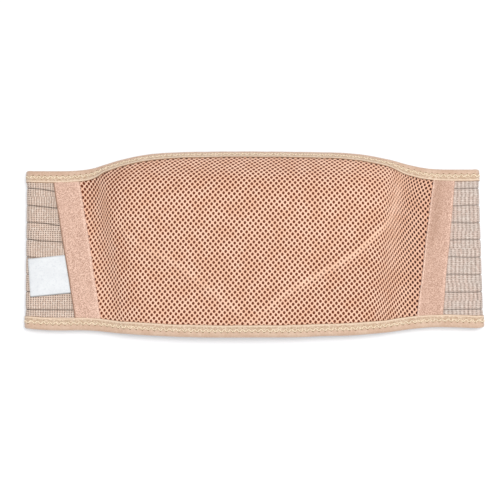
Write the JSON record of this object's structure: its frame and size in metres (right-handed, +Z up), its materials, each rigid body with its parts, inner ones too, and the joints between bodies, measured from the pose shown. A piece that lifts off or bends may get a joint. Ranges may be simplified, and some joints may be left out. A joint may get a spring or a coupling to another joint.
{
  "type": "maternity support belt",
  "caption": "Closed maternity belt lying flat: cupped spacer-mesh belly panel, ribbed elastic wings folded to the back, velour strips and bound edges.",
  "frame": {"origin": "on the floor under the middle of the folded belt", "axes": "+X towards the right fold seen from above, +Y towards the belt's top edge, +Z up out of the belly panel"},
  "size_m": [0.458, 0.1901, 0.0515],
  "materials": {
    "spacer_mesh": "peach open spacer mesh, matt",
    "ribbed_elastic": "beige ribbed elastic with fine eyelet columns",
    "velour": "pale peach brushed loop velour",
    "binding_tape": "beige folded tape with cover stitching, slight sheen",
    "woven_label": "white woven satin, bare",
    "hook_tape": "beige hook tape"
  },
  "bodies": {
    "root": {"belly_panel": "spacer_mesh", "left_wing": "ribbed_elastic", "right_wing": "ribbed_elastic", "left_strip": "velour", "right_strip": "velour", "top_binding": "binding_tape", "bottom_binding": "binding_tape", "label": "woven_label", "hook_patch": "hook_tape"}
  },
  "joints": []
}
